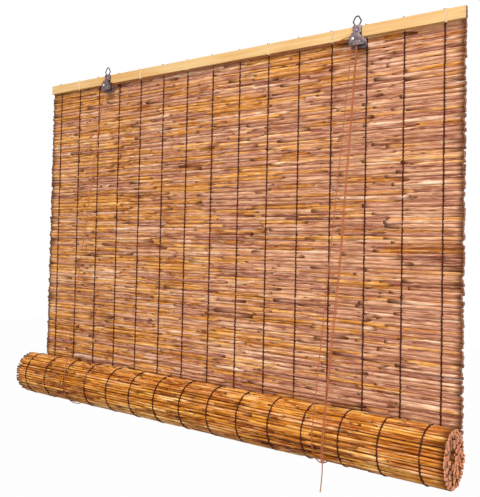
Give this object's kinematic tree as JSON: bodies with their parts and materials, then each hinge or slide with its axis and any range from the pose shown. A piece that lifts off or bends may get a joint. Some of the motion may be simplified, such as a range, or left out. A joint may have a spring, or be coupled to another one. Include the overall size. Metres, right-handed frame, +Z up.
{
  "type": "reed roll up blind",
  "caption": "Reed mat blind rolled up part way, hung from a pale head batten by wire-eyed metal lifters, with warp threads, lift cords in slings, cord locks and pull ends.",
  "frame": {"origin": "midway between the two hanging eyes, at the height where a hook bears on them and in the plane of their wire", "axes": "+X to the right along the batten, +Y back towards the wall, +Z up"},
  "size_m": [0.9999, 0.1063, 0.8041],
  "materials": {
    "reed": "dry stained reed, satin",
    "pale_wood": "planed pale lath, satin",
    "dark_thread": "dark brown chain-stitched thread",
    "white_thread": "white binding thread",
    "bronzed_steel": "dark bronzed sheet steel",
    "bright_steel": "bright rivet steel",
    "cord": "red-brown twisted cord"
  },
  "bodies": {
    "head": {"head_batten": "pale_wood", "lashings": "white_thread", "reed_panel": "reed", "left_eye": "bronzed_steel", "left_back_plate": "bronzed_steel", "left_front_plate": "bronzed_steel", "left_screw": "bright_steel", "left_pulley_rivet": "bright_steel", "left_cam_rivet": "bright_steel", "left_rear_cord": "cord", "left_lift_cord": "cord", "right_eye": "bronzed_steel", "right_back_plate": "bronzed_steel", "right_front_plate": "bronzed_steel", "right_screw": "bright_steel", "right_pulley_rivet": "bright_steel", "right_cam_rivet": "bright_steel", "right_rear_cord": "cord", "right_lift_cord": "cord", "left_cord_turn": "cord", "right_cord_turns": "cord", "cross_cord": "cord", "pull_cord_left": "cord", "pull_cord_right": "cord", "warp_thread_01": "dark_thread", "warp_thread_02": "dark_thread", "warp_thread_03": "dark_thread", "warp_thread_04": "dark_thread", "warp_thread_05": "dark_thread", "warp_thread_06": "dark_thread", "warp_thread_07": "dark_thread", "warp_thread_08": "dark_thread", "warp_thread_09": "dark_thread", "warp_thread_10": "dark_thread", "warp_thread_11": "dark_thread", "warp_thread_12": "dark_thread", "warp_thread_13": "dark_thread", "warp_thread_14": "dark_thread", "warp_thread_15": "dark_thread"},
    "slings": {"left_sling": "cord", "right_sling": "cord", "pull_tip_left": "cord", "pull_tip_right": "cord", "pull_knot": "cord"},
    "roll": {"reed_roll": "reed", "roll_threads": "dark_thread", "bottom_lath": "pale_wood"},
    "left_pulley": {"left_pulley": "bronzed_steel"},
    "right_pulley": {"right_pulley": "bronzed_steel"},
    "left_cam": {"left_cam": "bronzed_steel"},
    "right_cam": {"right_cam": "bronzed_steel"}
  },
  "joints": [
    {"name": "roll_lift", "type": "slide", "parent": "head", "child": "slings", "axis": [0, 0, 1], "range_m": [0, 0.56], "deforming": ["reed_panel", "warp_thread_01", "warp_thread_02", "warp_thread_03", "warp_thread_04", "warp_thread_05", "warp_thread_06", "warp_thread_07", "warp_thread_08", "warp_thread_09", "warp_thread_10", "warp_thread_11", "warp_thread_12", "warp_thread_13", "warp_thread_14", "warp_thread_15", "left_lift_cord", "right_lift_cord", "left_rear_cord", "right_rear_cord", "pull_cord_left", "pull_cord_right"]},
    {"name": "roll_turn", "type": "hinge", "parent": "slings", "child": "roll", "pos_m": [-0.012, -0.03085, -0.717], "axis": [1, 0, 0], "range_deg": [-700, 0]},
    {"name": "left_pulley_spin", "type": "hinge", "parent": "head", "child": "left_pulley", "pos_m": [-0.31, -0.00338, -0.04], "axis": [0, 1, 0], "range_deg": [0, 12850]},
    {"name": "right_pulley_spin", "type": "hinge", "parent": "head", "child": "right_pulley", "pos_m": [0.302, -0.00338, -0.04], "axis": [0, 1, 0], "range_deg": [0, 12850]},
    {"name": "left_cam_swing", "type": "hinge", "parent": "head", "child": "left_cam", "pos_m": [-0.2975, -0.00338, -0.0465], "axis": [0, 1, 0], "range_deg": [0, 30]},
    {"name": "right_cam_swing", "type": "hinge", "parent": "head", "child": "right_cam", "pos_m": [0.3145, -0.00338, -0.0465], "axis": [0, 1, 0], "range_deg": [0, 30]}
  ],
  "couplings": [
    {"joint": "roll_turn", "follows": "roll_lift", "rad_per_m": -21.739},
    {"joint": "left_pulley_spin", "follows": "roll_lift", "rad_per_m": 400},
    {"joint": "right_pulley_spin", "follows": "roll_lift", "rad_per_m": 400}
  ]
}
